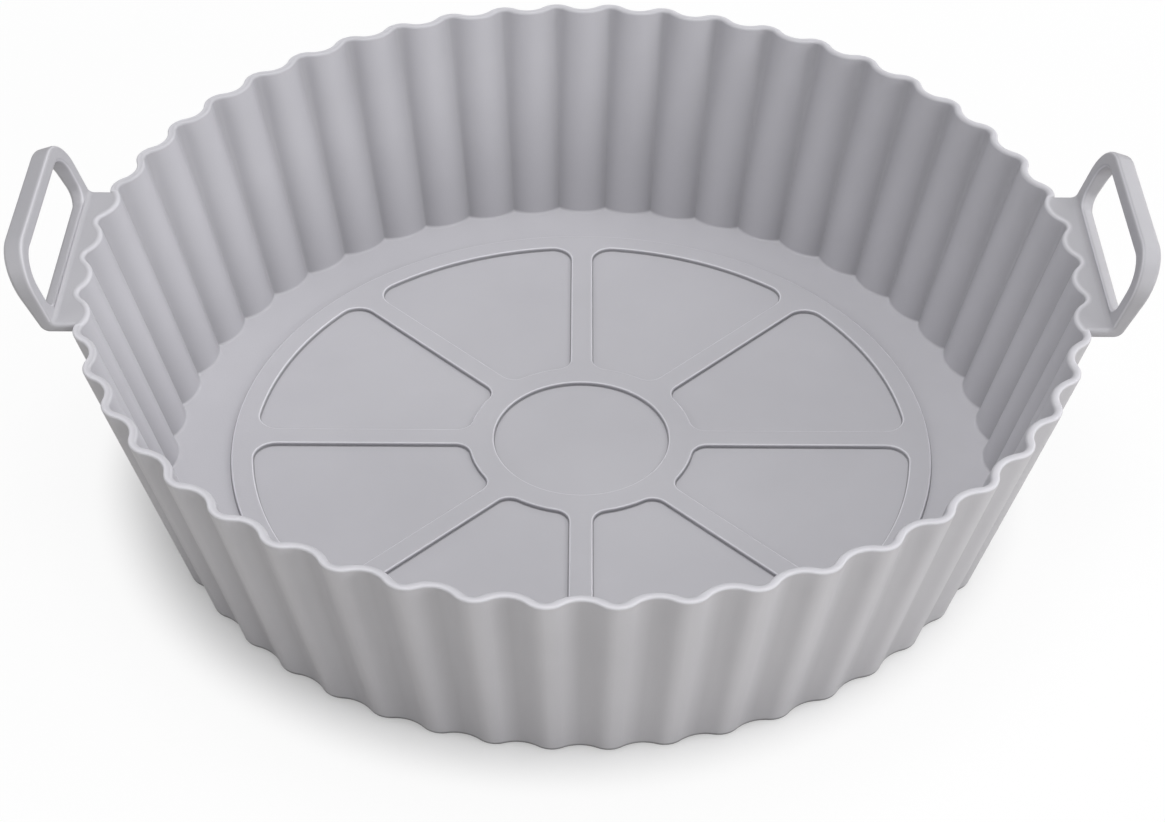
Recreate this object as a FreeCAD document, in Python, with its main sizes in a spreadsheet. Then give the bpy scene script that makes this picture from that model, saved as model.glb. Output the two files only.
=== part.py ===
import FreeCAD, Part
import math
import os
import Sketcher

Vector = FreeCAD.Vector

doc = FreeCAD.newDocument("FlutedLiner")


# Driving sizes, in millimetres and degrees

SIZES = (
    ("rimDiameter", 200.0, "over the flute crests at the rim"),
    ("baseDiameter", 173.6, "over the flute crests at the underside"),
    ("tubHeight", 48.5, "underside to rim"),
    ("fluteCount", 50, "crests around the wall, one on each handle's axis"),
    ("rimFluteDepth", 2.2, "crest to valley at the rim"),
    ("baseFluteDepth", 1.8, "crest to valley at the underside"),
    ("crestBend", 4.6, "bend radius of the outer crests"),
    ("wallThickness", 1.6, "measured along the radius"),
    ("floorThickness", 1.6, "between the ribs"),
    ("ribHeight", 0.9, "ribs above the floor"),
    ("ringDiameter", 146.0, "outside of the rib ring"),
    ("ringWidth", 4.6, "rib ring"),
    ("hubDiameter", 47.2, "outside of the hub ring"),
    ("hubWidth", 5.3, "hub ring"),
    ("spokeCount", 8, "straight ribs between hub and ring"),
    ("spokeWidth", 4.8, "straight ribs"),
    ("outerCorner", 4.4, "panel corners at the ring"),
    ("innerCorner", 3.4, "panel corners at the hub"),
    ("shelfThickness", 2.0, "flat ledge under each handle"),
    ("ledgeGap", 0.9, "flute crests to the handle's inner face, at the rim"),
    ("ledgeReach", 2.0, "underside of the ledge past the handle's inner face"),
    ("handleLength", 45.4, "along the rim"),
    ("handleHeight", 15.0, "above the rim"),
    ("handleThickness", 4.2, "across the loop at its top, tapering to the ledge"),
    ("handleLean", 18.4, "inner face outwards from upright"),
    ("handleCorner", 8.8, "upper corners of the loop"),
    ("legWidth", 3.4, "loop beside the hole"),
    ("barHeight", 3.3, "loop above the hole"),
    ("sillHeight", 1.0, "loop below the hole, above the ledge"),
    ("holeFoot", 3.0, "lower corners of the hole"),
    ("heelRadius", 2.0, "lower outer edge of the ledge"),
    ("handleBevel", 0.6, "edges of the loop and of the ledge's ends"),
)

sizes = doc.addObject("Spreadsheet::Sheet", "Sizes")
for row, (alias, value, note) in enumerate(SIZES, start=1):
    sizes.set("A%d" % row, alias)
    sizes.set("B%d" % row, str(value))
    sizes.set("C%d" % row, note)
    sizes.setAlias("B%d" % row, alias)
doc.recompute()


def size(alias):
    return float(sizes.get(alias))


# Fluted outlines: smooth waves of arcs outside, lobes that meet in sharp creases inside

def polar(radius, angle, level):
    return Vector(radius * math.cos(angle), radius * math.sin(angle), level)


def valley_bend(crest, valley, half_pitch, bend):
    """Radius of the valley arcs that touch crest arcs of the given bend radius."""
    centre = crest - bend
    reach = centre * math.cos(half_pitch)
    return (centre**2 + valley**2 - 2 * valley * reach - bend**2) / (2 * (reach + bend - valley))


def wave_edges(crest, depth, level):
    """Crest arcs and valley arcs on a shared tangent, the first crest on +X."""
    count = int(size("fluteCount"))
    half = math.pi / count
    near_bend = size("crestBend")
    far_bend = valley_bend(crest, crest - depth, half, near_bend)
    near_centre = polar(crest - near_bend, 0, 0)
    far_centre = polar(crest - depth + far_bend, half, 0)
    touch = near_centre + (far_centre - near_centre) * (near_bend / (near_bend + far_bend))
    touch_radius = math.hypot(touch.x, touch.y)
    touch_angle = math.atan2(touch.y, touch.x)
    edges = []
    for flute in range(count):
        middle = 2 * half * flute
        before = polar(touch_radius, middle - touch_angle, level)
        after = polar(touch_radius, middle + touch_angle, level)
        following = polar(touch_radius, middle + 2 * half - touch_angle, level)
        edges.append(Part.Arc(before, polar(crest, middle, level), after).toShape())
        edges.append(Part.Arc(after, polar(crest - depth, middle + half, level), following).toShape())
    return edges


def lobe_edges(crest, depth, level):
    """One arc for each flute, from crease to crease, the first crease on +X."""
    count = int(size("fluteCount"))
    half = math.pi / count
    edges = []
    for flute in range(count):
        start = 2 * half * flute
        edges.append(Part.Arc(
            polar(crest, start, level),
            polar(crest - depth, start + half, level),
            polar(crest, start + 2 * half, level)).toShape())
    return edges


def wall_at(level):
    """Outer crest radius and flute depth at a height above the underside."""
    share = level / size("tubHeight")
    crest = size("baseDiameter") / 2 + share * (size("rimDiameter") - size("baseDiameter")) / 2
    depth = size("baseFluteDepth") + share * (size("rimFluteDepth") - size("baseFluteDepth"))
    return crest, depth


def section(name, edges_of, level, growth):
    """One fluted outline at its level, grown outwards from the outer wall by the given amount."""
    crest, depth = wall_at(level)
    outline = doc.addObject("Part::Feature", name)
    outline.Shape = Part.Wire(edges_of(crest + growth, depth, level))
    return outline


def ruled_loft(name, outlines):
    loft = doc.addObject("Part::Loft", name)
    loft.Sections = outlines
    loft.Solid = True
    loft.Ruled = True
    return loft


height = size("tubHeight")
wall = size("wallThickness")

tub_outside = ruled_loft("TubOutside", [
    section("UndersideOutline", wave_edges, 0, 0),
    section("RimOutline", wave_edges, height, 0),
])

# The void runs on above the rim, so that it passes clear through the mouth
tub_void = ruled_loft("TubVoid", [
    section("FloorOutline", lobe_edges, size("floorThickness"), -wall),
    section("MouthOutline", lobe_edges, height + wall, -wall),
])


# Sketches

def origin_plane(body, role):
    for feature in body.Origin.OriginFeatures:
        if feature.Role == role:
            return feature
    raise ValueError(role)


def new_sketch(body, name, role):
    sketch = body.newObject("Sketcher::SketchObject", name)
    sketch.AttachmentSupport = [(origin_plane(body, role), "")]
    sketch.MapMode = "FlatFace"
    return sketch


def bind(sketch, name, expression, *constraint):
    """Adds a sized constraint and ties it to the sheet."""
    index = sketch.addConstraint(Sketcher.Constraint(*constraint))
    sketch.renameConstraint(index, name)
    sketch.setExpression("Constraints." + name, expression)


def join(sketch, first, first_end, second, second_end):
    sketch.addConstraint(Sketcher.Constraint("Coincident", first, first_end, second, second_end))


def edge_names(shape, wanted):
    """Names of the edges that pass a test."""
    return ["Edge%d" % number for number, edge in enumerate(shape.Edges, start=1) if wanted(edge)]


def dress(body, kind, name, base, edges, alias):
    """A fillet or chamfer on the named edges, sized from the sheet."""
    feature = body.newObject("PartDesign::" + kind, name)
    feature.Base = (base, edges)
    feature.setExpression("Radius" if kind == "Fillet" else "Size", "Sizes." + alias)
    doc.recompute()
    return feature


START, END, CENTRE = range(1, 4)
ORIGIN, X_AXIS = -1, -1
NEAR = 1e-4


# Floor ribs: a raised disc with the hub's recess and a panel between each two spokes cut out of it

ribs = doc.addObject("PartDesign::Body", "FloorRibs")

disc_sketch = new_sketch(ribs, "RingOutline", "XY_Plane")
disc_sketch.setExpression("AttachmentOffset.Base.z", "Sizes.floorThickness / 2")
disc_sketch.addGeometry(Part.Circle(Vector(), Vector(0, 0, 1), size("ringDiameter") / 2))
join(disc_sketch, 0, CENTRE, ORIGIN, START)
bind(disc_sketch, "ring", "Sizes.ringDiameter / 2", "Radius", 0, size("ringDiameter") / 2)
disc = ribs.newObject("PartDesign::Pad", "RaisedDisc")
disc.Profile = disc_sketch
disc.setExpression("Length", "Sizes.floorThickness / 2 + Sizes.ribHeight")

hub_sketch = new_sketch(ribs, "HubRecessOutline", "XY_Plane")
hub_sketch.addGeometry(Part.Circle(Vector(), Vector(0, 0, 1), size("hubDiameter") / 2 - size("hubWidth")))
join(hub_sketch, 0, CENTRE, ORIGIN, START)
bind(hub_sketch, "recess", "Sizes.hubDiameter / 2 - Sizes.hubWidth", "Radius", 0,
     size("hubDiameter") / 2 - size("hubWidth"))
hub_recess = ribs.newObject("PartDesign::Pocket", "HubRecess")
hub_recess.Profile = hub_sketch
hub_recess.Type = "ThroughAll"
hub_recess.Reversed = True

spoke_step = 2 * math.pi / size("spokeCount")
half_spoke = size("spokeWidth") / 2
panel_inner = size("hubDiameter") / 2
panel_outer = size("ringDiameter") / 2 - size("ringWidth")
inner_turn = math.asin(half_spoke / panel_inner)
outer_turn = math.asin(half_spoke / panel_outer)

panel_sketch = new_sketch(ribs, "PanelOutline", "XY_Plane")
next_spoke = panel_sketch.addGeometry(Part.LineSegment(Vector(), polar(panel_outer, spoke_step, 0)), True)
first_side = panel_sketch.addGeometry(Part.LineSegment(
    polar(panel_inner, inner_turn, 0), polar(panel_outer, outer_turn, 0)))
outer_arc = panel_sketch.addGeometry(Part.ArcOfCircle(
    Part.Circle(Vector(), Vector(0, 0, 1), panel_outer), outer_turn, spoke_step - outer_turn))
second_side = panel_sketch.addGeometry(Part.LineSegment(
    polar(panel_outer, spoke_step - outer_turn, 0), polar(panel_inner, spoke_step - inner_turn, 0)))
inner_arc = panel_sketch.addGeometry(Part.ArcOfCircle(
    Part.Circle(Vector(), Vector(0, 0, 1), panel_inner), inner_turn, spoke_step - inner_turn))
join(panel_sketch, next_spoke, START, ORIGIN, START)
join(panel_sketch, outer_arc, CENTRE, ORIGIN, START)
join(panel_sketch, inner_arc, CENTRE, ORIGIN, START)
join(panel_sketch, first_side, START, inner_arc, START)
join(panel_sketch, first_side, END, outer_arc, START)
join(panel_sketch, second_side, START, outer_arc, END)
join(panel_sketch, second_side, END, inner_arc, END)
panel_sketch.addConstraint(Sketcher.Constraint("Horizontal", first_side))
panel_sketch.addConstraint(Sketcher.Constraint("Parallel", second_side, next_spoke))
bind(panel_sketch, "step", "360 deg / Sizes.spokeCount", "Angle", X_AXIS, START, next_spoke, START, spoke_step)
bind(panel_sketch, "reach", "Sizes.ringDiameter / 2 - Sizes.ringWidth", "Distance", next_spoke, panel_outer)
bind(panel_sketch, "firstOffset", "Sizes.spokeWidth / 2", "DistanceY", ORIGIN, START, first_side, START, half_spoke)
bind(panel_sketch, "secondOffset", "Sizes.spokeWidth / 2", "Distance", second_side, END, next_spoke, half_spoke)
bind(panel_sketch, "outer", "Sizes.ringDiameter / 2 - Sizes.ringWidth", "Radius", outer_arc, panel_outer)
bind(panel_sketch, "inner", "Sizes.hubDiameter / 2", "Radius", inner_arc, panel_inner)
panel = ribs.newObject("PartDesign::Pocket", "Panel")
panel.Profile = panel_sketch
panel.Type = "ThroughAll"
panel.Reversed = True

panels = ribs.newObject("PartDesign::PolarPattern", "Panels")
panels.Originals = [panel]
panels.Axis = (panel_sketch, ["N_Axis"])
panels.Angle = 360
panels.setExpression("Occurrences", "Sizes.spokeCount")
ribs.Tip = panels
doc.recompute()

middle_radius = (panel_inner + panel_outer) / 2
rim_of_disc = size("ringDiameter") / 2
rim_of_recess = panel_inner - size("hubWidth")


def upright_at(edge):
    """Distance from the axis of an upright straight edge, or None for any other edge."""
    first, last = edge.Vertexes[0].Point, edge.Vertexes[-1].Point
    if abs(first.x - last.x) > NEAR or abs(first.y - last.y) > NEAR or abs(first.z - last.z) < NEAR:
        return None
    return math.hypot(first.x, first.y)


def outer_corner(edge):
    distance = upright_at(edge)
    return distance is not None and middle_radius < distance < rim_of_disc - NEAR


def inner_corner(edge):
    distance = upright_at(edge)
    return distance is not None and rim_of_recess + NEAR < distance < middle_radius


outer_rounds = dress(ribs, "Fillet", "OuterCorners", panels,
                     edge_names(panels.Shape, outer_corner), "outerCorner")
inner_rounds = dress(ribs, "Fillet", "InnerCorners", outer_rounds,
                     edge_names(outer_rounds.Shape, inner_corner), "innerCorner")
ribs.Tip = inner_rounds


# Handle on +X: a flat ledge at the rim that turns up into a leaning loop

handle = doc.addObject("PartDesign::Body", "Handle")

inner_face = size("rimDiameter") / 2 + size("ledgeGap")
lean = math.radians(size("handleLean"))
top = height + size("handleHeight")
ledge_floor = height - size("shelfThickness")
# The ledge starts inside the tub's void, which trims it to the fluted rim
root = inner_face - size("handleLength") / 2
outward = Vector(size("handleThickness") * math.cos(lean), -size("handleThickness") * math.sin(lean), 0)
face_foot = Vector(inner_face, height, 0)
face_head = Vector(inner_face + size("handleHeight") * math.tan(lean), top, 0)
back_head = face_head + outward
back_foot = Vector(inner_face + size("ledgeReach"), ledge_floor, 0)
profile = (Vector(root, ledge_floor, 0), back_foot, back_head, face_head, face_foot, Vector(root, height, 0))

side_sketch = new_sketch(handle, "SideProfile", "XZ_Plane")
for corner in range(len(profile)):
    side_sketch.addGeometry(Part.LineSegment(profile[corner], profile[(corner + 1) % len(profile)]))
for corner in range(len(profile)):
    join(side_sketch, corner, END, (corner + 1) % len(profile), START)
ledge_bottom, _, head_face, front_face, ledge_top, root_face = range(len(profile))
side_sketch.addConstraint(Sketcher.Constraint("Horizontal", ledge_bottom))
side_sketch.addConstraint(Sketcher.Constraint("Horizontal", ledge_top))
side_sketch.addConstraint(Sketcher.Constraint("Vertical", root_face))
side_sketch.addConstraint(Sketcher.Constraint("Perpendicular", head_face, front_face))
bind(side_sketch, "rim", "Sizes.tubHeight", "DistanceY", ORIGIN, START, ledge_top, END, height)
bind(side_sketch, "ledge", "Sizes.shelfThickness", "DistanceY", ledge_bottom, START, ledge_top, END,
     size("shelfThickness"))
bind(side_sketch, "face", "Sizes.rimDiameter / 2 + Sizes.ledgeGap", "DistanceX", ORIGIN, START,
     front_face, END, inner_face)
bind(side_sketch, "root", "Sizes.rimDiameter / 2 + Sizes.ledgeGap - Sizes.handleLength / 2", "DistanceX",
     ORIGIN, START, ledge_top, END, root)
bind(side_sketch, "reach", "Sizes.rimDiameter / 2 + Sizes.ledgeGap + Sizes.ledgeReach", "DistanceX",
     ORIGIN, START, ledge_bottom, END, back_foot.x)
bind(side_sketch, "rise", "Sizes.handleHeight", "DistanceY", front_face, END, front_face, START,
     size("handleHeight"))
bind(side_sketch, "thickness", "Sizes.handleThickness", "Distance", head_face, size("handleThickness"))
bind(side_sketch, "lean", "Sizes.handleHeight * tan(Sizes.handleLean * 1 deg)", "DistanceX",
     front_face, END, front_face, START, face_head.x - face_foot.x)
slab = handle.newObject("PartDesign::Pad", "LeaningSlab")
slab.Profile = side_sketch
slab.SideType = "Symmetric"
slab.setExpression("Length", "Sizes.handleLength")
doc.recompute()

half_length = size("handleLength") / 2


def slab_corner(edge):
    """The two upper corner edges, which run through the slab's thickness."""
    box = edge.BoundBox
    at_end = abs(abs(box.Center.y) - half_length) < NEAR and box.YLength < NEAR
    return at_end and abs(box.ZMax - top) < NEAR and box.ZLength < size("handleThickness")


def heel(edge):
    """The lower outer edge, which runs the length of the slab."""
    box = edge.BoundBox
    return abs(box.XMin - back_foot.x) < NEAR and abs(box.ZMax - ledge_floor) < NEAR


slab_rounds = dress(handle, "Fillet", "UpperCorners", slab, edge_names(slab.Shape, slab_corner), "handleCorner")

# The hole is drawn on the loop's inner face, which leans from the rim
hole_sketch = new_sketch(handle, "HoleOutline", "YZ_Plane")
hole_sketch.AttachmentOffset = FreeCAD.Placement(
    Vector(0, height, inner_face), FreeCAD.Rotation(Vector(1, 0, 0), size("handleLean")))
hole_sketch.setExpression("AttachmentOffset.Base.y", "Sizes.tubHeight")
hole_sketch.setExpression("AttachmentOffset.Base.z", "Sizes.rimDiameter / 2 + Sizes.ledgeGap")
hole_sketch.setExpression("AttachmentOffset.Rotation.Angle", "Sizes.handleLean * 1 deg")
hole_half = half_length - size("legWidth")
hole_low = size("sillHeight")
hole_high = size("handleHeight") / math.cos(lean) - size("barHeight")
head_corner = size("handleCorner") - size("legWidth")
foot_corner = size("holeFoot")
hole_corners = (
    (hole_half, hole_low, foot_corner, -90),
    (hole_half, hole_high, head_corner, 0),
    (-hole_half, hole_high, head_corner, 90),
    (-hole_half, hole_low, foot_corner, 180),
)
arcs = []
for y, rise, bend, turn in hole_corners:
    centre = Vector(y - math.copysign(bend, y), rise + (bend if rise == hole_low else -bend), 0)
    start = math.radians(turn)
    arcs.append(hole_sketch.addGeometry(Part.ArcOfCircle(
        Part.Circle(centre, Vector(0, 0, 1), bend), start, start + math.pi / 2)))
sides = []
for number, arc in enumerate(arcs):
    following = arcs[(number + 1) % len(arcs)]
    sides.append(hole_sketch.addGeometry(Part.LineSegment(
        hole_sketch.getPoint(arc, END), hole_sketch.getPoint(following, START))))
for number, arc in enumerate(arcs):
    following = arcs[(number + 1) % len(arcs)]
    hole_sketch.addConstraint(Sketcher.Constraint("Tangent", arc, END, sides[number], START))
    hole_sketch.addConstraint(Sketcher.Constraint("Tangent", sides[number], END, following, START))
right_side, upper_side, left_side, lower_side = sides
right_foot, right_head, left_head, left_foot = arcs
hole_sketch.addConstraint(Sketcher.Constraint("Vertical", right_side))
hole_sketch.addConstraint(Sketcher.Constraint("Horizontal", upper_side))
hole_sketch.addConstraint(Sketcher.Constraint("Vertical", left_side))
hole_sketch.addConstraint(Sketcher.Constraint("Horizontal", lower_side))
hole_sketch.addConstraint(Sketcher.Constraint("Equal", right_head, left_head))
hole_sketch.addConstraint(Sketcher.Constraint("Equal", right_foot, left_foot))
bind(hole_sketch, "right", "Sizes.handleLength / 2 - Sizes.legWidth", "DistanceX", ORIGIN, START,
     right_side, START, hole_half)
bind(hole_sketch, "left", "Sizes.handleLength / 2 - Sizes.legWidth", "DistanceX", left_side, START,
     ORIGIN, START, hole_half)
bind(hole_sketch, "low", "Sizes.sillHeight", "DistanceY", ORIGIN, START, lower_side, START, hole_low)
bind(hole_sketch, "high", "Sizes.handleHeight / cos(Sizes.handleLean * 1 deg) - Sizes.barHeight",
     "DistanceY", ORIGIN, START, upper_side, START, hole_high)
bind(hole_sketch, "headCorner", "Sizes.handleCorner - Sizes.legWidth", "Radius", right_head, head_corner)
bind(hole_sketch, "footCorner", "Sizes.holeFoot", "Radius", right_foot, foot_corner)
hole = handle.newObject("PartDesign::Pocket", "FingerHole")
hole.Profile = hole_sketch
hole.Type = "ThroughAll"
hole.Reversed = True
doc.recompute()

heel_round = dress(handle, "Fillet", "Heel", hole, edge_names(hole.Shape, heel), "heelRadius")


def loop_edge(edge):
    """Every edge but those through the loop's thickness, at the root and along the ledge."""
    first, last = edge.Vertexes[0].Point, edge.Vertexes[-1].Point
    span = last - first
    through = abs(abs(span.x) - outward.x) < NEAR and abs(span.y) < NEAR
    at_root = max(first.x, last.x) < root + NEAR
    along_ledge = abs(span.x) < NEAR and abs(span.z) < NEAR and first.z < height + NEAR
    return not (through or at_root or along_ledge)


handle_edges = dress(handle, "Chamfer", "HandleEdges", heel_round,
                     edge_names(heel_round.Shape, loop_edge), "handleBevel")
handle.Tip = handle_edges

other_handle = doc.addObject("Part::Mirroring", "OtherHandle")
other_handle.Source = handle
other_handle.Normal = Vector(1, 0, 0)


# The liner: wall and handles joined, the void cut out of both, the ribs set on the floor

walled = doc.addObject("Part::MultiFuse", "OutsideWithHandles")
walled.Shapes = [tub_outside, handle, other_handle]
hollowed = doc.addObject("Part::Cut", "HollowTub")
hollowed.Base = walled
hollowed.Tool = tub_void
liner = doc.addObject("Part::Fuse", "Liner")
liner.Base = hollowed
liner.Tool = ribs
liner.Label = "liner"
doc.recompute()


# Checks and the finished piece

for feature in doc.Objects:
    if "Invalid" in feature.State or "Error" in feature.State:
        raise RuntimeError(feature.Name + " did not build")
for feature in (tub_outside, tub_void, ribs, handle, liner):
    if feature.Shape.isNull() or not feature.Shape.isValid():
        raise RuntimeError(feature.Name + " is not a sound shape")
for larger, smaller in ((disc, hub_recess), (hub_recess, panels), (slab, hole)):
    if smaller.Shape.Volume >= larger.Shape.Volume:
        raise RuntimeError(smaller.Name + " removed nothing")
if len(liner.Shape.Solids) != 1:
    raise RuntimeError("the liner is not one solid")

os.makedirs("parts", exist_ok=True)
liner.Shape.exportStep("parts/liner.step")
print("liner", round(liner.Shape.Volume), "cubic mm", liner.Shape.BoundBox)
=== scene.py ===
import math
import bmesh
import bpy
from mathutils import Matrix, Vector


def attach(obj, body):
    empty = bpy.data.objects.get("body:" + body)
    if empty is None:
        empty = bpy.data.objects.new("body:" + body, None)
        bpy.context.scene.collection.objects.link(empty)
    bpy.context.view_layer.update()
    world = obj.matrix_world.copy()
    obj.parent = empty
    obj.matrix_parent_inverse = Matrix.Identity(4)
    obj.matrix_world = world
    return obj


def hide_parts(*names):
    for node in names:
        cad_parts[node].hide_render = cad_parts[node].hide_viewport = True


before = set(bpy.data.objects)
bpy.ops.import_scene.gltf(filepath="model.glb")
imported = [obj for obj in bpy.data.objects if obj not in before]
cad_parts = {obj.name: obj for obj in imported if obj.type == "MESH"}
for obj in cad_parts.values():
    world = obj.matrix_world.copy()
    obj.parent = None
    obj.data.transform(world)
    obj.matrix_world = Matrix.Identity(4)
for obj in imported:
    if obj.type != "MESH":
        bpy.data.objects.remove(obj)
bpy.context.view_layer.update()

sharpAngle = 40   # degrees: edges sharper than this are rounded
smoothAngle = 38  # and flatter ones are shaded smooth


# small helpers for working as in the viewport

def deselectAll():
    if bpy.context.object and bpy.context.object.mode != 'OBJECT':
        bpy.ops.object.mode_set(mode='OBJECT')
    bpy.ops.object.select_all(action='DESELECT')


def pick(*pieces):  # the last one becomes active
    deselectAll()
    for piece in pieces:
        piece.select_set(True)
    bpy.context.view_layer.objects.active = pieces[-1]


def editMode():
    bpy.ops.object.mode_set(mode='EDIT')
    bpy.ops.mesh.select_all(action='DESELECT')


def objectMode():
    bpy.ops.object.mode_set(mode='OBJECT')


def faceOutwards():  # from edit mode back to object mode
    bpy.ops.mesh.select_all(action='SELECT')
    bpy.ops.mesh.normals_make_consistent(inside=False)
    objectMode()


def thicken(height):  # in edit mode, a flat face into a closed block
    bpy.ops.mesh.select_all(action='SELECT')
    bpy.ops.mesh.extrude_region_move(TRANSFORM_OT_translate={'value': (0, 0, height)})
    faceOutwards()


def newPiece(name):  # takes the primitive that was just added
    piece = bpy.context.object
    piece.name = name
    piece.data.name = name
    bpy.ops.object.transform_apply(location=True, rotation=True, scale=True)
    return piece


def copyOf(piece):
    other = piece.copy()
    other.data = piece.data.copy()
    bpy.context.collection.objects.link(other)
    return other


def selectEdges(piece, wanted):  # in edit mode, by the two ends
    bpy.ops.mesh.select_mode(type='EDGE')
    bpy.ops.mesh.select_all(action='DESELECT')
    mesh = bmesh.from_edit_mesh(piece.data)
    for edge in mesh.edges:
        edge.select_set(wanted(edge.verts[0].co, edge.verts[1].co))
    bmesh.update_edit_mesh(piece.data)


def addCube(name, low, high):
    deselectAll()
    middle = [(a + b) / 2 for a, b in zip(low, high)]
    bpy.ops.mesh.primitive_cube_add(size=1, location=middle)
    bpy.context.object.scale = [b - a for a, b in zip(low, high)]
    return newPiece(name)


def boolean(piece, tool, operation='DIFFERENCE'):
    modifier = piece.modifiers.new('boolean', 'BOOLEAN')
    modifier.operation = operation
    modifier.solver = 'EXACT'
    modifier.object = tool
    pick(piece)
    bpy.ops.object.modifier_apply(modifier=modifier.name)
    bpy.data.objects.remove(tool)


def roundEdges(piece, width, segments):
    modifier = piece.modifiers.new('bevel', 'BEVEL')
    modifier.width = width
    modifier.segments = segments
    modifier.limit_method = 'ANGLE'
    modifier.angle_limit = math.radians(sharpAngle)
    modifier.miter_outer = 'MITER_ARC'
    pick(piece)
    bpy.ops.object.modifier_apply(modifier=modifier.name)


# the tub: one ring of edges, extruded row by row round the wall's section, each row fluted

tub = {
    'rimRadius': 0.1,
    'baseRadius': 0.0868,
    'height': 0.0485,
    'rest': 0.00002,           # keeps the foot just off the studio floor
    'wall': 0.0016,
    'floor': 0.0016,
    'flutes': 50,
    'columns': 24,             # to each flute
    'crestDensity': 1.35,      # over 1 crowds the columns towards the creases
    'rimDepth': 0.0022,        # crest to valley at the rim
    'baseDepth': 0.0013,       # outside, at the foot
    'floorDepth': 0.0018,      # inside, at the floor
    'crestBend': 0.0046,
    'rimCrease': 0.0026,       # inner bend on the crests: open at the rim, sharp lower down
    'floorCrease': 0.0004,
    'rimRound': 0.0005,
    'baseRound': 0.0006,
    'footShadeWidth': 0.0005,        # the painted shade line round the foot fades out over this
    'floorFillet': 0.0005,
    'roundSteps': 4,
    'wallSteps': 9,
    'border': 0.0012,          # flat strip before the floor and the underside are filled
    'creaseShade': 0.9,         # painted shade and painted highlight: how much darker or lighter each place is painted
    'crestHighlight': 0.8,
    'footShade': 2.2,
    'rimHighlight': 0.2,
    'rimEdgeHighlight': 1.0,        # painted highlight on the rim's outer edge
    'ledgeEdgeHighlight': 0.9,      # painted highlight on its inner edge beside a handle
}


def waveRadius(crest, depth, bend, turn):
    # turn runs from 0 on a crest to half a pitch in the valley
    half = math.pi / tub['flutes']
    valley = crest - depth
    centre = crest - bend
    reach = centre * math.cos(half)
    farBend = centre**2 + valley**2 - 2 * valley * reach - bend**2
    farBend /= 2 * (reach + bend - valley)
    farCentre = valley + farBend
    share = bend / (bend + farBend)  # the arcs meet on the line between their centres
    meetX = centre + (farCentre * math.cos(half) - centre) * share
    meetY = farCentre * math.sin(half) * share
    if turn < math.atan2(meetY, meetX):
        return centre * math.cos(turn) + math.sqrt(bend**2 - (centre * math.sin(turn))**2)
    rest = half - turn
    return farCentre * math.cos(rest) - math.sqrt(farBend**2 - (farCentre * math.sin(rest))**2)


def wallRadius(angle, across, inset, level):
    # across runs from 0 on the outside to 1 on the inside
    pitch = 2 * math.pi / tub['flutes']
    turn = abs((angle + pitch / 2) % pitch - pitch / 2)
    rise = level / tub['height']
    crest = tub['baseRadius'] + (tub['rimRadius'] - tub['baseRadius']) * rise
    outerDepth = tub['baseDepth'] + (tub['rimDepth'] - tub['baseDepth']) * rise
    innerDepth = tub['floorDepth'] + (tub['rimDepth'] - tub['floorDepth']) * rise
    crease = tub['floorCrease'] + (tub['rimCrease'] - tub['floorCrease']) * min(rise, 1)**2
    outer = waveRadius(crest, outerDepth, tub['crestBend'], turn)
    inner = waveRadius(crest - tub['wall'], innerDepth, crease, turn)
    return outer + (inner - outer) * across - inset


def middleRadius(angle, level):
    return wallRadius(angle, 0.5, 0, level)


def shapeRow(piece, across, inset, level):  # moves the selected ring onto the wall
    mesh = bmesh.from_edit_mesh(piece.data)
    for vert in mesh.verts:
        if vert.select:
            angle = math.atan2(vert.co.y, vert.co.x)
            radius = wallRadius(angle, across, inset, level)
            vert.co = (radius * math.cos(angle), radius * math.sin(angle), level)
    bmesh.update_edit_mesh(piece.data)


def extrudeRow(piece, across, inset, level):
    bpy.ops.mesh.extrude_region_move()
    shapeRow(piece, across, inset, level)


def crowdColumns(piece):  # more columns near the crests, where the creases are
    half = math.pi / tub['flutes']
    mesh = bmesh.from_edit_mesh(piece.data)
    for vert in mesh.verts:
        angle = math.atan2(vert.co.y, vert.co.x)
        crest = round(angle / (2 * half)) * 2 * half
        turn = (angle - crest) / half
        angle = crest + math.copysign(abs(turn) ** tub['crestDensity'], turn) * half
        vert.co = (tub['baseRadius'] * math.cos(angle), tub['baseRadius'] * math.sin(angle), 0)
    bmesh.update_edit_mesh(piece.data)


def wallRows():  # across, inset, level, from the underside round the rim to the floor
    rows = []
    quarter = [math.pi / 2 * step / tub['roundSteps'] for step in range(tub['roundSteps'] + 1)]
    foot, rim, fillet = tub['baseRound'], tub['rimRound'], tub['floorFillet']
    for angle in quarter:
        rows.append((0, foot * (1 - math.sin(angle)), tub['rest'] + foot * (1 - math.cos(angle))))
    low, high = foot + tub['footShadeWidth'], tub['height'] - rim
    rows.append((0, 0, low))
    for step in range(1, tub['wallSteps']):
        rows.append((0, 0, low + (high - low) * step / tub['wallSteps']))
    for angle in quarter:
        rows.append((0, rim * (1 - math.cos(angle)), high + rim * math.sin(angle)))
    for angle in reversed(quarter):
        rows.append((1, -rim * (1 - math.cos(angle)), high + rim * math.sin(angle)))
    low = tub['floor'] + fillet
    for step in range(tub['wallSteps'] - 1, 0, -1):
        rows.append((1, 0, low + (high - low) * step / tub['wallSteps']))
    for angle in quarter:
        level = tub['floor'] + fillet * (1 - math.sin(angle))
        rows.append((1, fillet * (1 - math.cos(angle)), level))
    rows.append((1, fillet + tub['border'], tub['floor']))
    return rows


def addRing(name, radius, fill='NOTHING'):  # left in edit mode, all selected
    deselectAll()
    bpy.ops.mesh.primitive_circle_add(vertices=tub['flutes'] * tub['columns'], radius=radius,
                                      fill_type=fill)
    ring = newPiece(name)
    editMode()
    bpy.ops.mesh.select_all(action='SELECT')
    return ring


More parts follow.
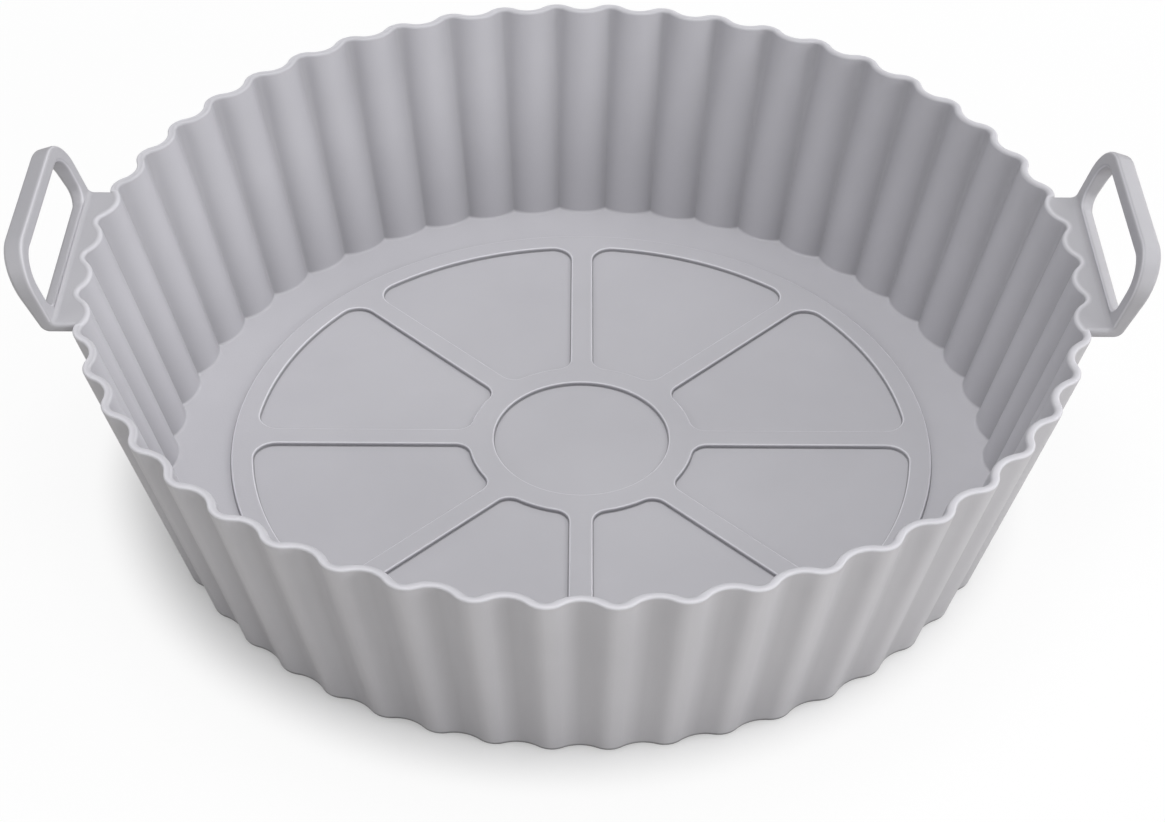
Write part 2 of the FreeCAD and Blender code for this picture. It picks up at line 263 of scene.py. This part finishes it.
def makeTub():
    piece = addRing('tub', tub['baseRadius'])
    crowdColumns(piece)
    shapeRow(piece, 0, tub['baseRound'] + tub['border'], tub['rest'])
    for row in wallRows():
        extrudeRow(piece, *row)
    bpy.ops.mesh.edge_face_add()  # the floor
    bpy.ops.mesh.select_all(action='DESELECT')
    bpy.ops.mesh.select_non_manifold()
    bpy.ops.mesh.edge_face_add()  # the underside
    faceOutwards()
    return piece


def paintShading(piece, shadingOf):  # painted shade and painted highlight, as a value that the material reads
    paintedShading = piece.data.attributes.new('paintedShading', 'FLOAT', 'POINT')
    for vert in piece.data.vertices:
        paintedShading.data[vert.index].value = shadingOf(vert)


def tubPaintedShading(vert):
    place = vert.co
    pitch = 2 * math.pi / tub['flutes']
    angle = math.atan2(place.y, place.x)
    turn = abs((angle + pitch / 2) % pitch - pitch / 2) / (pitch / 2)
    radius = math.hypot(place.x, place.y)
    foot = tub['floor'] + tub['floorFillet']
    rim = max(0, 1 - (tub['height'] - place.z) / tub['rimRound'])
    onLedge = abs(place.y) < handle['length'] / 2
    if radius > middleRadius(angle, place.z):
        # outside: crests painted lighter, as a highlight
        wall = tub['crestHighlight'] * (1 - turn)
        # a painted shade line round the foot, where it meets the studio floor
        if 2 * tub['rest'] < place.z < tub['baseRound'] + tub['footShadeWidth'] / 2:
            wall = -tub['footShade']
        # the rim's outer edge gets a painted highlight, or the handle's painted shade beside a
        # ledge
        edge = handle['paintedShading'] if onLedge else tub['rimEdgeHighlight']
    else:
        # inside: creases painted darker, as shade, fading out at the floor
        wall = -tub['creaseShade'] * (1 - turn)**2
        if place.z < foot:
            wall = wall * max(0, place.z - tub['floor']) / tub['floorFillet']
        # the rim's inner edge gets a painted highlight
        edge = tub['ledgeEdgeHighlight'] if onLedge else tub['rimHighlight']
    return wall + (edge - wall) * rim


tubPiece = makeTub()
print('tub', len(tubPiece.data.polygons), 'faces')


# the floor ribs: a disc with a panel cut out between each two spokes and a round one at the hub

ribs = {
    'ringRadius': 0.073,
    'ringWidth': 0.0046,
    'hubRadius': 0.0236,
    'hubWidth': 0.0053,
    'spokes': 8,
    'spokeWidth': 0.0048,
    'outerCorner': 0.0044,
    'innerCorner': 0.0034,
    'height': 0.0009,
    'sunk': 0.0005,            # into the floor
    'edgeRound': 0.0004,
    'edgeSteps': 4,
    'topShare': 0.01,          # shares of the rounding, from the top down: the flat top, then the painted highlight on the edge, then the painted shade down the side
    'highlightShare': 0.5,          # then the light edge, then the darkening side
    'edgeHighlight': 1.6,
    'sideShade': 1.6,
    'sheetWidth': 0.0002,       # the painted shade sheet round the foot of the ribs reaches out this far
    'sheetRise': 0.00004,
    'sheetShade': -1.5,
    'ringSteps': 256,
    'hubSteps': 128,
    'cornerSteps': 8,
    'arcSteps': 28,
}


def makePanelCutter(level, wider):
    # one panel's outline, drawn from the first spoke's hub end round to where it began
    half = ribs['spokeWidth'] / 2 + wider
    outerArc = ribs['ringRadius'] - ribs['ringWidth'] - wider
    innerArc = ribs['hubRadius'] + wider
    outerCorner = ribs['outerCorner'] - wider
    innerCorner = ribs['innerCorner'] - wider
    between = 2 * math.pi / ribs['spokes']
    outerReach = math.sqrt((outerArc - outerCorner)**2 - (half + outerCorner)**2)
    innerReach = math.sqrt((innerArc + innerCorner)**2 - (half + innerCorner)**2)
    outerTurn = math.atan2(half + outerCorner, outerReach)
    innerTurn = math.atan2(half + innerCorner, innerReach)
    outline = []

    def arc(centre, radius, start, end, steps):
        for step in range(steps + 1):
            angle = start + (end - start) * step / steps
            outline.append((centre[0] + radius * math.cos(angle),
                            centre[1] + radius * math.sin(angle)))

    def mirrored(points):  # across the line midway between the two spokes
        cos, sin = math.cos(between), math.sin(between)
        return [(x * cos + y * sin, x * sin - y * cos) for x, y in reversed(points)]

    steps = ribs['cornerSteps']
    arc((innerReach, half + innerCorner), innerCorner, innerTurn - math.pi, -math.pi / 2, steps)
    arc((outerReach, half + outerCorner), outerCorner, -math.pi / 2, outerTurn, steps)
    side = list(outline)
    outline.clear()
    arc((0, 0), outerArc, outerTurn, between - outerTurn, ribs['arcSteps'])
    outside = outline[1:-1]
    outline.clear()
    arc((0, 0), innerArc, between - innerTurn, innerTurn, ribs['arcSteps'])
    inside = outline[1:-1]
    points = side + outside + mirrored(side) + inside
    mesh = bpy.data.meshes.new('panelCutter')
    mesh.from_pydata([(x, y, level) for x, y in points], [], [list(range(len(points)))])
    cutter = bpy.data.objects.new('panelCutter', mesh)
    bpy.context.collection.objects.link(cutter)
    return cutter


def makeRibs(name, rise, wider):
    bottom = tub['floor'] - ribs['sunk']
    top = tub['floor'] + rise
    middle = (0, 0, (bottom + top) / 2)
    through = 3 * (top - bottom)  # the cutters stand out by one thickness on each side
    deselectAll()
    bpy.ops.mesh.primitive_cylinder_add(vertices=ribs['ringSteps'], depth=top - bottom,
                                        radius=ribs['ringRadius'] + wider, location=middle)
    piece = newPiece(name)
    deselectAll()
    hub = ribs['hubRadius'] - ribs['hubWidth'] - wider
    bpy.ops.mesh.primitive_cylinder_add(vertices=ribs['hubSteps'], depth=through, radius=hub,
                                        location=middle)
    cutters = [newPiece('hubCutter')]
    panel = makePanelCutter(2 * bottom - top, wider)
    pick(panel)
    editMode()
    thicken(through)
    cutters.append(panel)
    for spoke in range(1, ribs['spokes']):
        another = copyOf(panel)
        another.rotation_euler.z = 2 * math.pi * spoke / ribs['spokes']
        cutters.append(another)
    pick(*cutters)
    bpy.ops.object.transform_apply(location=True, rotation=True, scale=True)
    bpy.ops.object.join()
    boolean(piece, bpy.context.object)
    return piece


# painted highlight along the ribs' top edges and painted shade down their sides
def ribPaintedShading(vert):
    fall = (tub['floor'] + ribs['height'] - vert.co.z) / ribs['edgeRound']
    if fall < ribs['topShare']:
        return 0
    if fall < ribs['highlightShare']:
        return ribs['edgeHighlight']
    return -ribs['sideShade'] * min(fall - ribs['highlightShare'], 1)


ribPiece = makeRibs('floorRibs', ribs['height'], 0)
roundEdges(ribPiece, ribs['edgeRound'], ribs['edgeSteps'])
paintShading(ribPiece, ribPaintedShading)
# a thin dark sheet round the feet of the ribs, lying on the floor as painted shade
ribShadeSheet = makeRibs('ribShadeSheet', ribs['sheetRise'], ribs['sheetWidth'])
paintShading(ribShadeSheet, lambda vert: ribs['sheetShade'])
print('floor ribs', len(ribPiece.data.polygons), 'faces')


# the handles: a flat ledge on the rim and a rounded loop that leans out from it

handle = {
    'length': 0.0454,
    'height': 0.015,
    'headThickness': 0.0042,
    'rimThickness': 0.00265,
    'lean': math.radians(18.4),
    'gap': 0.0009,             # from the flute crests to the loop's inner face
    'ledge': 0.002,
    'legWidth': 0.0034,
    'barWidth': 0.0033,
    'sill': 0.001,
    'corner': 0.0088,
    'holeFoot': 0.003,
    'heel': 0.0013,            # rounds the ledge's outer ends
    'edgeRound': 0.0008,
    'edgeSteps': 4,
    'cornerSteps': 12,
    'heelSteps': 8,
    'belowRim': 0.00002,       # keeps the ledge's top just under the rim's
    'slabFoot': 0.005,         # how deep the slab starts before it is cut at the ledge
    'cutterReach': 0.01,
    'nearly': 0.000001,        # closer than this counts as level
    'mergeWithin': 0.00001,
    'flatAngle': 0.5,          # degrees: flatter edges are dissolved
    # painted shade over the whole handle
    'paintedShading': -0.5,
    'edgeHighlight': 0.8,
    'highlightFacing': (0.55, 0.85),  # how far the painted highlight on an edge faces out of the loop
}


def roundCorners(piece, level, above, radius):  # edges through the slab's thickness
    def isCorner(a, b):
        gaps = [abs(gap) > handle['nearly'] for gap in a - b]
        return gaps == [True, False, False] and ((a.z > level) if above else (a.z < level))

    pick(piece)
    editMode()
    selectEdges(piece, isCorner)
    bpy.ops.mesh.bevel(offset=radius, segments=handle['cornerSteps'], offset_type='OFFSET',
                       clamp_overlap=False)
    objectMode()


def makeRimCutter():  # everything inside the middle of the wall
    piece = addRing('rimCutter', tub['rimRadius'], 'NGON')
    mesh = bmesh.from_edit_mesh(piece.data)
    level = tub['height'] - handle['cutterReach']
    for vert in mesh.verts:
        angle = math.atan2(vert.co.y, vert.co.x)
        radius = middleRadius(angle, tub['height'])
        vert.co = (radius * math.cos(angle), radius * math.sin(angle), level)
    bmesh.update_edit_mesh(piece.data)
    thicken(2 * handle['cutterReach'])
    return piece


def makeHandle():
    face = tub['rimRadius'] + handle['gap']
    half = handle['length'] / 2
    rise = handle['height'] / math.cos(handle['lean'])
    rim = tub['height']
    middle = rim + rise / 3  # parts the upper corners from the lower ones
    reach = handle['cutterReach']
    slab = addCube('handle', (face, -half, rim - handle['slabFoot']),
                   (face + handle['headThickness'], half, rim + rise))
    roundCorners(slab, middle, True, handle['corner'])
    taper = (handle['headThickness'] - handle['rimThickness']) / rise
    for vert in slab.data.vertices:
        if vert.co.x > face + handle['headThickness'] / 2:
            vert.co.x = face + handle['rimThickness'] + (vert.co.z - rim) * taper
    holeHalf = half - handle['legWidth']
    hole = addCube('hole', (face - reach, -holeHalf, rim + handle['sill']),
                   (face + reach, holeHalf, rim + rise - handle['barWidth']))
    roundCorners(hole, middle, True, handle['corner'] - handle['legWidth'])
    roundCorners(hole, middle, False, handle['holeFoot'])
    boolean(slab, hole)
    # lean the slab out from the rim and cut it flat at the ledge's underside
    pick(slab)
    slab.data.transform(turnAbout(Vector((face, 0, rim)), handle['lean']))
    editMode()
    bpy.ops.mesh.select_all(action='SELECT')
    bpy.ops.mesh.bisect(plane_co=(0, 0, rim - handle['ledge']), plane_no=(0, 0, 1),
                        use_fill=True, clear_inner=True)
    objectMode()
    ledge = addCube('ledge', (face - half / 2, -half, rim - handle['ledge']),
                    (face + handle['rimThickness'] / 2, half, rim - handle['belowRim']))
    boolean(slab, ledge, 'UNION')
    pick(slab)
    editMode()
    bpy.ops.mesh.select_all(action='SELECT')
    bpy.ops.mesh.remove_doubles(threshold=handle['mergeWithin'])
    bpy.ops.mesh.dissolve_limited(angle_limit=math.radians(handle['flatAngle']))

    def isHeel(a, b):
        low = max(a.z, b.z) < rim - handle['ledge'] + handle['mergeWithin']
        outermost = min(a.x, b.x) > face + handle['rimThickness'] / 2
        return low and outermost and abs(a.y - b.y) > half

    selectEdges(slab, isHeel)
    bpy.ops.mesh.bevel(offset=handle['heel'], segments=handle['heelSteps'], offset_type='OFFSET')
    objectMode()
    roundEdges(slab, handle['edgeRound'], handle['edgeSteps'])
    boolean(slab, makeRimCutter())
    return slab


def turnAbout(point, angle):  # leans +Z towards +X
    return Matrix.Translation(point) @ Matrix.Rotation(angle, 4, 'Y') @ Matrix.Translation(-point)


def handlePaintedShading(vert):  # painted highlight along the middle of the loop's rounded edges, painted shade on the rest
    across = Vector((math.cos(handle['lean']), 0, -math.sin(handle['lean'])))
    low, high = handle['highlightFacing']
    aboveLedge = vert.co.z > tub['height'] + handle['sill'] / 2
    if aboveLedge and low < abs(vert.normal.dot(across)) < high:
        return handle['edgeHighlight']
    return handle['paintedShading']


handlePiece = makeHandle()
paintShading(handlePiece, handlePaintedShading)
paintShading(tubPiece, tubPaintedShading)
print('handle', len(handlePiece.data.polygons), 'faces')

otherHandle = copyOf(handlePiece)
otherHandle.scale.x = -1
pick(otherHandle)
bpy.ops.object.transform_apply(location=True, rotation=True, scale=True)
editMode()
faceOutwards()

pick(ribPiece, ribShadeSheet, handlePiece, otherHandle, tubPiece)
bpy.ops.object.join()
liner = tubPiece
liner.name = 'linerBody'
liner.data.name = 'linerBody'
pick(liner)
bpy.ops.object.shade_smooth_by_angle(angle=math.radians(smoothAngle))
weighted = liner.modifiers.new('weightedNormals', 'WEIGHTED_NORMAL')
weighted.keep_sharp = True
bpy.ops.object.modifier_apply(modifier=weighted.name)
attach(liner, 'root')
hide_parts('liner')
print('liner', len(liner.data.polygons), 'faces')


# shader building: sockets that take sums and products, and one method for any node

class Socket:
    def __init__(self, shader, output):
        self.shader = shader
        self.output = output

    def math(self, operation, other, swapped=False):
        first, second = (other, self) if swapped else (self, other)
        return self.shader.node('ShaderNodeMath', {'operation': operation}, {0: first, 1: second})

    def __add__(self, other):
        return self.math('ADD', other)

    def __radd__(self, other):
        return self.math('ADD', other, True)

    def __sub__(self, other):
        return self.math('SUBTRACT', other)

    def __rsub__(self, other):
        return self.math('SUBTRACT', other, True)

    def __mul__(self, other):
        return self.math('MULTIPLY', other)

    def __rmul__(self, other):
        return self.math('MULTIPLY', other, True)


class Shader:
    def __init__(self, owner):  # a material or a world
        owner.use_nodes = True
        self.owner = owner
        self.tree = owner.node_tree
        self.tree.nodes.clear()

    def node(self, kind, settings=None, inputs=None, output=0):
        made = self.tree.nodes.new(kind)
        for name, value in (settings or {}).items():
            if name == 'stops':
                ramp = made.color_ramp
                for index, (place, colour) in enumerate(value):
                    stop = ramp.elements[index] if index < 2 else ramp.elements.new(place)
                    stop.position = place
                    stop.color = colour
            else:
                setattr(made, name, value)
        for name, value in (inputs or {}).items():
            if isinstance(value, Socket):
                self.tree.links.new(value.output, made.inputs[name])
            else:
                made.inputs[name].default_value = value
        return Socket(self, made.outputs[output])

    def finish(self, surface, kind='ShaderNodeOutputMaterial'):
        out = self.tree.nodes.new(kind)
        self.tree.links.new(surface.output, out.inputs['Surface'])
        return self.owner


# matte moulded silicone: faint clouding, a very fine mould grain, a soft satin, and painted shade
# and painted highlight read from the mesh

silicone = {
    'pale': (0.560, 0.553, 0.585, 1),
    'deep': (0.530, 0.523, 0.555, 1),
    'cloudScale': 22,
    'cloudDetail': 4.0,
    'cloudRoughness': 0.55,
    'cloudDeepAt': 0.35,
    'cloudPaleAt': 0.65,
    'fineDetail': 2.0,
    'grainScale': 2600,
    'grainHeight': 0.00002,
    'rippleScale': 90,
    'rippleHeight': 0.00005,
    'roughness': 0.43,
    'roughnessSpread': 0.08,
    'paintedShadingStrength': 0.25,      # one unit of painted shading lightens the colour by this share
    'ior': 1.41,
}


def makeSilicone():
    shader = Shader(bpy.data.materials.new('silicone'))
    place = shader.node('ShaderNodeTexCoord', output='Object')

    def noise(scale, detail, roughness=0.5):
        return shader.node('ShaderNodeTexNoise', None, {
            'Vector': place, 'Scale': scale, 'Detail': detail, 'Roughness': roughness})

    clouds = noise(silicone['cloudScale'], silicone['cloudDetail'], silicone['cloudRoughness'])
    colour = shader.node('ShaderNodeValToRGB', {'stops': [
        (silicone['cloudDeepAt'], silicone['deep']),
        (silicone['cloudPaleAt'], silicone['pale'])]}, {'Fac': clouds})
    # painted shade and painted highlight, read from the mesh's points, scale the colour
    paintedShading = shader.node('ShaderNodeAttribute', {'attribute_name': 'paintedShading'}, output='Fac')
    colour = shader.node('ShaderNodeVectorMath', {'operation': 'SCALE'},
                         {0: colour, 'Scale': 1 + paintedShading * silicone['paintedShadingStrength']})
    grain = noise(silicone['grainScale'], silicone['fineDetail'])
    ripple = noise(silicone['rippleScale'], silicone['fineDetail'])
    relief = grain * silicone['grainHeight'] + ripple * silicone['rippleHeight']
    bump = shader.node('ShaderNodeBump', None, {'Height': relief, 'Strength': 1.0, 'Distance': 1.0})
    surface = shader.node('ShaderNodeBsdfPrincipled', None, {
        'Base Color': colour,
        'Roughness': silicone['roughness'] + (grain - 0.5) * silicone['roughnessSpread'],
        'Normal': bump,
        'IOR': silicone['ior'],
    })
    return shader.finish(surface)


liner.data.materials.clear()
liner.data.materials.append(makeSilicone())
print('silicone', len(liner.data.materials[0].node_tree.nodes), 'nodes')


# pale studio floor, open right under the liner

studio = {
    'floorReach': 3.0,
    'floorBounce': (0.51, 0.50, 0.47, 1),   # what the liner is lit by
    'floorShown': (0.92, 0.92, 0.92, 1),    # what the camera sees
    'liftNear': 0.22,          # how far the shown floor is lifted to white, by the liner
    'liftFar': 0.92,
    'nearRadius': 0.08,
    'farRadius': 0.098,
    'shadeMiddle': (-0.004, -0.001, 0),     # the shade leans away from the lamps on the right
    'white': (1, 1, 1, 1),
    'worldColour': (0.98, 0.99, 1.0, 1),
    'worldStrength': 0.24,
}

studioFloor = addRing('studioFloor', tub['baseRadius'])
shapeRow(studioFloor, 0, tub['baseRound'], 0)
extrudeRow(studioFloor, 0, -studio['floorReach'], 0)
bpy.ops.mesh.select_all(action='SELECT')
bpy.ops.mesh.flip_normals()
objectMode()
print('studio floor faces up:', studioFloor.data.polygons[0].normal.z > 0)
floorShader = Shader(bpy.data.materials.new('studioFloor'))
ray = floorShader.node('ShaderNodeLightPath', output='Is Camera Ray')
bounce = floorShader.node('ShaderNodeBsdfDiffuse', None, {'Color': studio['floorBounce']})
shown = floorShader.node('ShaderNodeBsdfDiffuse', None, {'Color': studio['floorShown']})
white = floorShader.node('ShaderNodeEmission', None, {'Color': studio['white'], 'Strength': 1.0})
place = floorShader.node('ShaderNodeTexCoord', output='Object')
distance = floorShader.node('ShaderNodeVectorMath', {'operation': 'DISTANCE'},
                            {0: place, 1: studio['shadeMiddle']}, output='Value')
lift = floorShader.node('ShaderNodeMapRange', {'interpolation_type': 'SMOOTHSTEP'}, {
    'Value': distance, 'From Min': studio['nearRadius'], 'From Max': studio['farRadius'],
    'To Min': studio['liftNear'], 'To Max': studio['liftFar']})
lifted = floorShader.node('ShaderNodeMixShader', None, {0: lift, 1: shown, 2: white})
solid = floorShader.node('ShaderNodeMixShader', None, {0: ray, 1: bounce, 2: lifted})
# clear from below, so that the underside can be seen
clear = floorShader.node('ShaderNodeBsdfTransparent')
behind = floorShader.node('ShaderNodeNewGeometry', output='Backfacing')
studioFloor.data.materials.append(floorShader.finish(floorShader.node(
    'ShaderNodeMixShader', None, {0: behind, 1: solid, 2: clear})))

skyShader = Shader(bpy.data.worlds.new('studio'))
ray = skyShader.node('ShaderNodeLightPath', output='Is Camera Ray')
lighting = skyShader.node('ShaderNodeBackground', None,
                          {'Color': studio['worldColour'], 'Strength': studio['worldStrength']})
backdrop = skyShader.node('ShaderNodeBackground', None, {'Color': studio['white'], 'Strength': 1.0})
bpy.context.scene.world = skyShader.finish(skyShader.node(
    'ShaderNodeMixShader', None, {0: ray, 1: lighting, 2: backdrop}), 'ShaderNodeOutputWorld')


# soft boxes: a large one overhead, three on the right, one low in front and one at the front left

lamps = {
    'overhead': {'place': (0, 0.15, 1.4), 'size': 0.75, 'watts': 9.4},
    'rightHigh': {'place': (0.95, 0.05, 0.95), 'size': 0.6, 'watts': 2.8},
    'rightBack': {'place': (0.95, 0.85, 0.5), 'size': 0.6, 'watts': 2.9},
    'rightFront': {'place': (1.1, -0.6, 0.35), 'size': 0.4, 'watts': 4.8},
    'front': {'place': (0.7, -1.2, 0.42), 'size': 0.5, 'watts': 3.0},
    'left': {'place': (-0.95, -0.7, 0.55), 'size': 0.6, 'watts': 2.9},
}
lampAim = Vector((0, 0, 0.02))

for name, lamp in lamps.items():
    light = bpy.data.lights.new(name, 'AREA')
    light.shape = 'SQUARE'
    light.size = lamp['size']
    light.energy = lamp['watts']
    body = bpy.data.objects.new(name, light)
    body.location = lamp['place']
    body.rotation_euler = (lampAim - Vector(lamp['place'])).to_track_quat('-Z', 'Y').to_euler()
    bpy.context.collection.objects.link(body)
print('lamps', len(lamps))


# camera at the photograph's angle

view = {
    'place': (-0.0006, -0.3921, 0.3300),
    'pitchDown': 39.27,        # degrees
    'yaw': 0.12,
    'roll': 0.38,
    'lens': 75.3,              # mm
    'sensorWidth': 36,
}

camera = bpy.data.cameras.new('camera')
camera.lens = view['lens']
camera.sensor_fit = 'HORIZONTAL'
camera.sensor_width = view['sensorWidth']
cameraBody = bpy.data.objects.new('camera', camera)
cameraBody.location = view['place']
aim = (Matrix.Rotation(math.radians(-view['yaw']), 3, 'Z')
       @ Matrix.Rotation(math.radians(90 - view['pitchDown']), 3, 'X')
       @ Matrix.Rotation(math.radians(view['roll']), 3, 'Z'))
cameraBody.rotation_euler = aim.to_euler()
bpy.context.collection.objects.link(cameraBody)
bpy.context.scene.camera = cameraBody
bpy.context.scene.view_settings.view_transform = 'Standard'
print('camera', view['lens'], 'mm')
